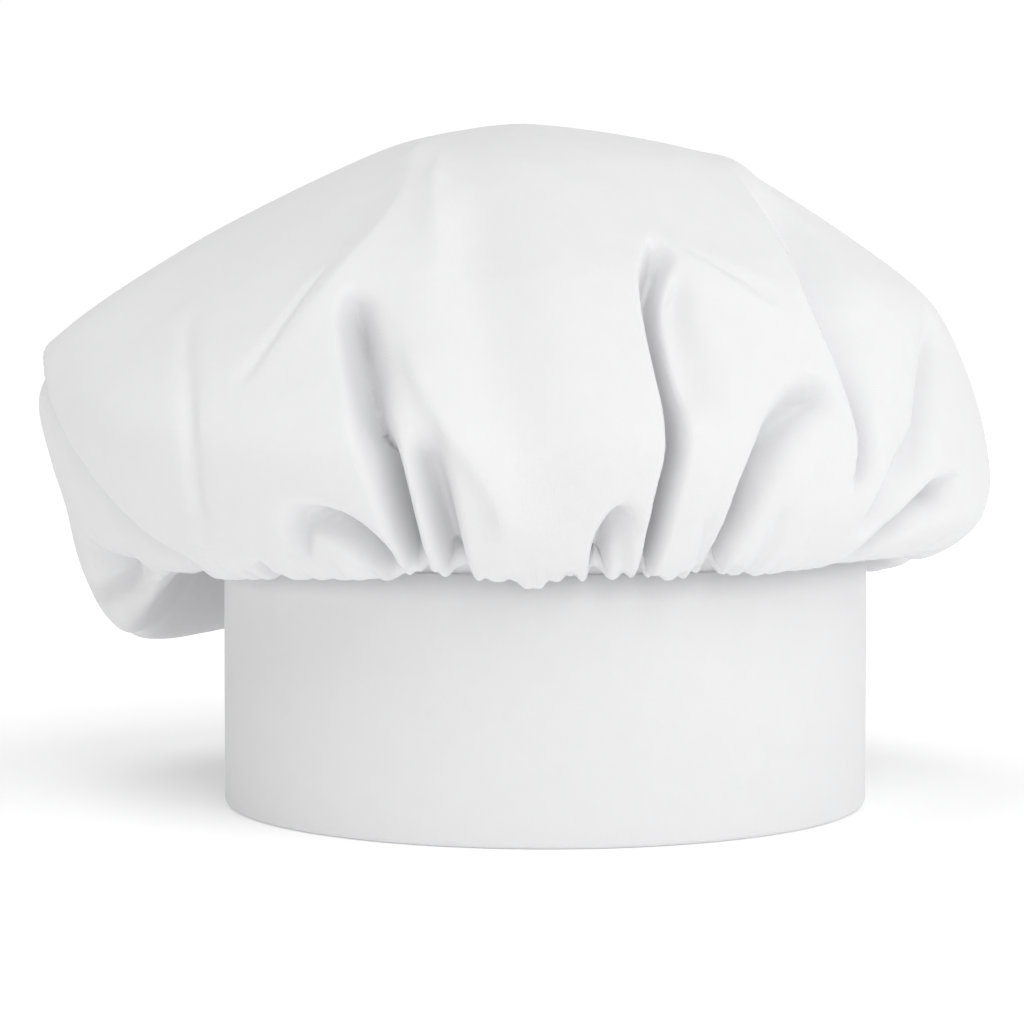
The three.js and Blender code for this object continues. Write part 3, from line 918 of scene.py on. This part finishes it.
@dataclass
class HeadBand:
    """The upright head band: a stiffened strip folded along its lower edge, open along its top.

    Lengths are in millimetres. slot is the gap between its plies, which takes the crown's edge, and
    inner_drop is how much lower the inner ply ends. The sweep has around steps, and its line fold_segments at
    each rounded corner and cuts in each stretch.
    """

    axis: tuple[float, float]
    radius: float
    height: float
    ply: float = 1.0
    slot: float = 1.6
    inner_drop: float = 1.5
    fold_round: float = 1.3
    around: int = 240
    fold_segments: int = 3
    cuts: int = 8
    waviness: float = 0.25
    wave_length: float = 45.0
    wave_seed: int = 4
    edge_round: float = 0.3
    edge_segments: int = 2
    edge_angle: float = 60.0
    finish: PlainCotton = BAND_COTTON

    def tree(self) -> bpy.types.NodeTree:
        """Builds the rule that sweeps the folded strip's line round the head.

        Returns:
            A node group whose named inputs are the band's sizes in metres.
        """
        tree = bpy.data.node_groups.new("folded_band", "GeometryNodeTree")
        lengths = {
            "Radius": self.radius - self.ply / 2,
            "Height": self.height,
            "Ply": self.ply,
            "Slot": self.slot,
            "Inner drop": self.inner_drop,
            "Lower fold": self.fold_round,
            "Waviness": self.waviness,
            "Wave length": self.wave_length,
        }
        for name, value in lengths.items():
            socket = tree.interface.new_socket(name, in_out="INPUT", socket_type="NodeSocketFloat")
            socket.default_value = value * MM
        for name in ("Around", "Fold segments", "Cuts", "Seed"):
            tree.interface.new_socket(name, in_out="INPUT", socket_type="NodeSocketInt")
        tree.interface.new_socket("Cloth", in_out="INPUT", socket_type="NodeSocketMaterial")
        tree.interface.new_socket("Geometry", in_out="OUTPUT", socket_type="NodeSocketGeometry")
        size = add_node(tree, "NodeGroupInput", {}).outputs

        def work(operation: str, a: Any, b: Any = 0.0) -> bpy.types.NodeSocket:
            """One step of arithmetic.

            Args:
                operation: The Math node's operation.
                a: Its first value or socket.
                b: Its second.

            Returns:
                The result's socket.
            """
            return add_node(tree, "ShaderNodeMath", {0: a, 1: b}, operation=operation).outputs[0]

        # A profile's own X points outwards and its Y down when it is swept round a circle
        bottom = work("DIVIDE", size["Ply"], -2.0)
        outer_top = work("MULTIPLY", size["Height"], -1.0)
        inner_top = work("SUBTRACT", size["Inner drop"], size["Height"])
        inwards = work("MULTIPLY", work("ADD", size["Slot"], size["Ply"]), -1.0)
        corners = ((0.0, outer_top), (0.0, bottom), (inwards, bottom), (inwards, inner_top))
        points = {
            f"Point {number}": add_node(tree, "ShaderNodeCombineXYZ", {"X": x, "Y": y}).outputs[0]
            for number, (x, y) in enumerate(corners, 1)
        }
        strip = add_node(tree, "GeometryNodeCurvePrimitiveQuadrilateral", points, mode="POINTS").outputs[0]
        opening = {"Geometry": strip, "Cyclic": False}
        opened = add_node(tree, "GeometryNodeSetSplineCyclic", opening).outputs[0]
        folding = {"Curve": opened, "Radius": size["Lower fold"]}
        folded = add_node(tree, "GeometryNodeFilletCurve", folding)
        set_choice(folded, "mode", "Mode", "POLY", "Poly")
        tree.links.new(size["Fold segments"], folded.inputs["Count"])
        cutting = {"Curve": folded.outputs[0], "Cuts": size["Cuts"]}
        parted = add_node(tree, "GeometryNodeSubdivideCurve", cutting).outputs[0]
        head = {"Resolution": size["Around"], "Radius": size["Radius"]}
        ring = add_node(tree, "GeometryNodeCurvePrimitiveCircle", head, mode="RADIUS").outputs[0]
        sweep = {"Curve": ring, "Profile Curve": parted}
        swept = add_node(tree, "GeometryNodeCurveToMesh", sweep).outputs[0]
        # The cloth isn't machined: it stands a little in and out, and less so at its folded lower edge
        place = add_node(tree, "GeometryNodeInputPosition", {}).outputs[0]
        per_wave = work("DIVIDE", 1.0, size["Wave length"])
        waves = {"Vector": place, "W": size["Seed"], "Scale": per_wave, "Detail": 1.0}
        noise = add_node(tree, "ShaderNodeTexNoise", waves, noise_dimensions="4D").outputs[0]
        centred = work("SUBTRACT", noise, 0.5)
        level = add_node(tree, "ShaderNodeSeparateXYZ", {0: place}).outputs[2]
        rise = work("DIVIDE", level, size["Height"])
        # The noise stays within about a quarter of its middle, so four times that is the whole waviness
        swing = work("MULTIPLY", size["Waviness"], 4.0)
        amount = work("MULTIPLY", work("MULTIPLY", centred, rise), swing)
        level_place = {0: place, 1: (1.0, 1.0, 0.0)}
        from_axis = add_node(tree, "ShaderNodeVectorMath", level_place, operation="MULTIPLY").outputs[0]
        outwards = add_node(tree, "ShaderNodeVectorMath", {0: from_axis}, operation="NORMALIZE").outputs[0]
        moved = {0: outwards, "Scale": amount}
        shift = add_node(tree, "ShaderNodeVectorMath", moved, operation="SCALE").outputs[0]
        waved = add_node(tree, "GeometryNodeSetPosition", {"Geometry": swept, "Offset": shift}).outputs[0]
        real = add_node(tree, "GeometryNodeRealizeInstances", {"Geometry": waved}).outputs[0]
        dressing = {"Geometry": real, "Material": size["Cloth"]}
        dressed = add_node(tree, "GeometryNodeSetMaterial", dressing).outputs[0]
        add_node(tree, "NodeGroupOutput", {"Geometry": dressed})
        return tree

    def build(self) -> bpy.types.Object:
        """Returns:
            The finished piece.
        """
        values = {
            "Around": self.around,
            "Fold segments": self.fold_segments,
            "Cuts": self.cuts,
            "Seed": self.wave_seed,
            "Cloth": self.finish.material(),
        }
        line = grow(self.tree(), values)
        line.transform(Matrix.Translation(Vector((*self.axis, 0)) * MM))
        band = piece(self.thickened(line), "head_band_folded")
        lay_map(band.data, self.flat_cloth(band.data))
        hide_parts(Part.BAND.value)
        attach(band, ROOT)
        return band

    def thickened(self, line: bpy.types.Mesh) -> bpy.types.Mesh:
        """Gives the swept strip its thickness and softens the edges of its plies.

        Args:
            line: The strip without thickness.

        Returns:
            The closed strip.
        """
        holder = bpy.data.objects.new("strip", line)
        bpy.context.collection.objects.link(holder)
        solid = holder.modifiers.new("ply", "SOLIDIFY")
        solid.thickness = self.ply * MM
        solid.offset = 0.0
        edge = holder.modifiers.new("worn_edge", "BEVEL")
        edge.width = self.edge_round * MM
        edge.segments = self.edge_segments
        edge.angle_limit = math.radians(self.edge_angle)
        return bake(holder)

    def flat_cloth(self, mesh: bpy.types.Mesh) -> np.ndarray:
        """Where each corner of the band's faces lies along and up the strip.

        Args:
            mesh: The finished strip.

        Returns:
            Places in metres, a row for each face corner.
        """
        points = np.empty(len(mesh.vertices) * 3)
        mesh.vertices.foreach_get("co", points)
        points = points.reshape(-1, 3) - np.array([*self.axis, 0]) * MM
        corners = corner_points(mesh)
        sizes = np.empty(len(mesh.polygons), int)
        mesh.polygons.foreach_get("loop_total", sizes)
        angle = np.arctan2(points[:, 0], -points[:, 1])[corners]
        first = np.repeat(angle[np.concatenate([[0], np.cumsum(sizes)[:-1]])], sizes)
        # A face that crosses the back keeps to the same turn round the head
        angle += 2 * math.pi * np.round((first - angle) / (2 * math.pi))
        return np.stack([angle * self.radius * MM, points[corners, 2]], axis=1)


def set_choice(node: bpy.types.Node, attribute: str, socket: str, code: str, label: str) -> None:
    """Chooses a node's mode, which is a property in some builds and a menu socket in others.

    Args:
        node: The node.
        attribute: The property's name.
        socket: The menu socket's name.
        code: The property's value.
        label: The socket's value.
    """
    if hasattr(node, attribute):
        setattr(node, attribute, code)
    else:
        node.inputs[socket].default_value = label


def bake(holder: bpy.types.Object) -> bpy.types.Mesh:
    """Turns what an object's modifiers make into a plain mesh, and removes the object.

    Args:
        holder: The object.

    Returns:
        The mesh.
    """
    bpy.context.view_layer.update()
    evaluated = holder.evaluated_get(bpy.context.evaluated_depsgraph_get())
    mesh = bpy.data.meshes.new_from_object(evaluated)
    bpy.data.objects.remove(holder)
    return mesh


def grow(tree: bpy.types.NodeTree, values: dict[str, Any]) -> bpy.types.Mesh:
    """Runs a node group and keeps its result as a plain mesh.

    Args:
        tree: The node group.
        values: Named inputs that differ from their defaults.

    Returns:
        The mesh.
    """
    holder = bpy.data.objects.new("grow", bpy.data.meshes.new("grow"))
    bpy.context.collection.objects.link(holder)
    modifier = holder.modifiers.new("rule", "NODES")
    modifier.node_group = tree
    sockets = {item.name: item.identifier for item in tree.interface.items_tree if item.in_out == "INPUT"}
    for name, value in values.items():
        modifier[sockets[name]] = value
    return bake(holder)


def corner_points(mesh: bpy.types.Mesh) -> np.ndarray:
    """Reads which point stands at each corner of a mesh's faces.

    Args:
        mesh: The mesh.

    Returns:
        The points' numbers, corner by corner.
    """
    corners = np.empty(len(mesh.loops), int)
    mesh.loops.foreach_get("vertex_index", corners)
    return corners


def lay_map(mesh: bpy.types.Mesh, places: np.ndarray) -> None:
    """Gives a mesh the map that its weave follows.

    Args:
        mesh: The mesh.
        places: Where each corner of its faces lies on the flat cloth, in metres.
    """
    layer = mesh.uv_layers.new(name=UV_LAYER)
    layer.data.foreach_set("uv", places.astype(np.float32).ravel())


def piece(mesh: bpy.types.Mesh, name: str) -> bpy.types.Object:
    """Makes a finished object of a mesh.

    Args:
        mesh: The mesh, already in its place and dressed in its material.
        name: The piece's name.

    Returns:
        The object.
    """
    mesh.name = name
    mesh.polygons.foreach_set("use_smooth", np.ones(len(mesh.polygons), bool))
    mesh.update()
    made = bpy.data.objects.new(name, mesh)
    bpy.context.collection.objects.link(made)
    return made


@dataclass(frozen=True)
class SoftLight:
    """A large square soft light, by the direction that it shines from, in degrees."""

    name: str
    azimuth: float
    elevation: float
    watts: float
    side: float = 3.6
    distance: float = 6.0

    def towards(self) -> Vector:
        """The direction from the cap to the light."""
        turn, rise = math.radians(self.azimuth), math.radians(self.elevation)
        return Vector((math.sin(turn) * math.cos(rise), -math.cos(turn) * math.cos(rise), math.sin(rise)))


@dataclass
class Studio:
    """The plain pale floor, the soft light and the camera.

    Lengths are in metres, and axis is where the band's axis meets the floor. sight is the point looked at, to
    the right of the frame's middle and above the floor, and pixels_per_unit is how many of the picture's
    pixels a unit takes at a unit's distance. dark_reach, wall_top and glow_reach say where a change of
    brightness starts and ends, and walls, ceiling, dark_side and glow how bright it is.
    """

    axis: tuple[float, float]
    lit_height: float = 0.12
    distance: float = 0.86
    eye_height: float = 0.13
    sight: tuple[float, float] = (0.001, 0.0873)
    pixels_per_unit: float = 2822.0
    picture: int = 1024
    sensor: float = 36.0
    nearest: float = 0.05
    floor_side: float = 16.0
    table: str = "fafafa"
    table_roughness: float = 0.9
    table_gloss: float = 0.1
    walls: float = 1.03
    ceiling: float = 0.5
    dark_side: float = 0.5
    dark_reach: tuple[float, float] = (-0.25, -0.9)
    wall_top: tuple[float, float] = (0.16, 0.42)
    glow: tuple[float, float] = (0.17, 0.5)
    glow_reach: tuple[float, float] = (0.15, 0.8)
    lights: tuple[SoftLight, ...] = (
        SoftLight("key", azimuth=24, elevation=45, watts=100),
        SoftLight("right_side", azimuth=90, elevation=20, watts=28),
        SoftLight("left_fill", azimuth=-55, elevation=68, watts=82),
    )

    def floor(self) -> None:
        """Lays a matt white floor with a painted glow in its surface, like a product table lit from below,
        and brighter away from the cap.
        """
        half = self.floor_side / 2
        mesh = bpy.data.meshes.new("floor")
        corners = [(-half, -half, 0), (half, -half, 0), (half, half, 0), (-half, half, 0)]
        mesh.from_pydata(corners, [], [(0, 1, 2, 3)])
        painted_glow_table = bpy.data.materials.new("white_table_with_painted_glow")
        painted_glow_table.use_nodes = True
        tree = painted_glow_table.node_tree
        surface = tree.nodes["Principled BSDF"].inputs
        surface["Base Color"].default_value = linear(self.table)
        surface["Roughness"].default_value = self.table_roughness
        surface["Specular IOR Level"].default_value = self.table_gloss
        # The emission is painted glow: the floor's own surface shines, weaker near the cap and stronger away
        # from it
        surface["Emission Color"].default_value = (1, 1, 1, 1)
        place = add_node(tree, "ShaderNodeTexCoord", {}).outputs["Object"]
        away = add_node(tree, "ShaderNodeVectorMath", {0: place}, operation="LENGTH").outputs["Value"]
        glow = self.ramp(tree, away, self.glow_reach, self.glow)
        tree.links.new(glow, surface["Emission Strength"])
        mesh.materials.append(painted_glow_table)
        floor = bpy.data.objects.new("floor", mesh)
        bpy.context.collection.objects.link(floor)

    @staticmethod
    def ramp(
        tree: bpy.types.NodeTree,
        value: bpy.types.NodeSocket,
        reach: tuple[float, float],
        ends: tuple[float, float],
    ) -> bpy.types.NodeSocket:
        """A smooth step from one value to another.

        Args:
            tree: The tree that it goes in.
            value: What it follows.
            reach: Where it starts and ends.
            ends: Its two values.

        Returns:
            The result's socket.
        """
        inputs = {"Value": value}
        for side, ends_pair in (("From", reach), ("To", ends)):
            inputs[f"{side} Min"], inputs[f"{side} Max"] = ends_pair
        step = add_node(tree, "ShaderNodeMapRange", inputs, interpolation_type="SMOOTHSTEP")
        return step.outputs["Result"]

    def light(self) -> None:
        """Hangs the soft lights in a room with white walls, a dimmer ceiling and a dimmer left side."""
        for soft in self.lights:
            lamp = bpy.data.lights.new(soft.name, "AREA")
            lamp.energy = soft.watts
            lamp.size = soft.side
            held = bpy.data.objects.new(soft.name, lamp)
            held.location = Vector((*self.axis, self.lit_height)) + soft.distance * soft.towards()
            held.rotation_euler = (-soft.towards()).to_track_quat("-Z", "Y").to_euler()
            bpy.context.collection.objects.link(held)
        world = bpy.data.worlds.new("white_room")
        world.use_nodes = True
        tree = world.node_tree
        towards = add_node(tree, "ShaderNodeTexCoord", {}).outputs["Generated"]
        axes = add_node(tree, "ShaderNodeSeparateXYZ", {0: towards}).outputs
        upright = self.ramp(tree, axes[2], self.wall_top, (self.walls, self.ceiling))
        sideways = self.ramp(tree, axes[0], self.dark_reach, (1.0, self.dark_side))
        whole = add_node(tree, "ShaderNodeMath", {0: upright, 1: sideways}, operation="MULTIPLY")
        background = tree.nodes["Background"].inputs
        background["Color"].default_value = (1, 1, 1, 1)
        tree.links.new(whole.outputs[0], background["Strength"])
        bpy.context.scene.world = world

    def camera(self) -> None:
        """Stands the camera where the photograph was taken from."""
        lens = bpy.data.cameras.new("photo_view")
        lens.sensor_width = self.sensor
        lens.lens = self.pixels_per_unit / self.picture * self.sensor
        lens.clip_start = self.nearest
        eye = bpy.data.objects.new("photo_view", lens)
        eye.location = (self.axis[0], self.axis[1] - self.distance, self.eye_height)
        seen = Vector((self.sight[0], self.axis[1], self.sight[1]))
        eye.rotation_euler = (seen - eye.location).to_track_quat("-Z", "Y").to_euler()
        bpy.context.collection.objects.link(eye)
        bpy.context.scene.camera = eye
        bpy.context.scene.view_settings.view_transform = "Standard"


def main() -> None:
    """Builds the cap, its floor, its lights and its camera in order."""
    logging.basicConfig(level=logging.INFO, format="%(message)s")
    low, high = (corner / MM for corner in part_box(Part.BAND.value))
    axis = ((low.x + high.x) / 2, (low.y + high.y) / 2)
    radius, height = (high.x - low.x) / 2, high.z
    studio = Studio(axis=(axis[0] * MM, axis[1] * MM))
    studio.floor()
    studio.light()
    studio.camera()
    band = HeadBand(axis, radius, height).build()
    feet = [fold.path[0][1] for fold in FOLDS if fold.path[0][0] == 0]
    small = [fold for gathers in GATHERS for fold in gathers.folds(feet)]
    crown = Crown(axis, radius, height, SECTIONS, FOLDS + small).build()
    for made in (band, crown):
        log.info("%s: %d points, %d faces", made.name, len(made.data.vertices), len(made.data.polygons))


if __name__ == "__main__":
    main()
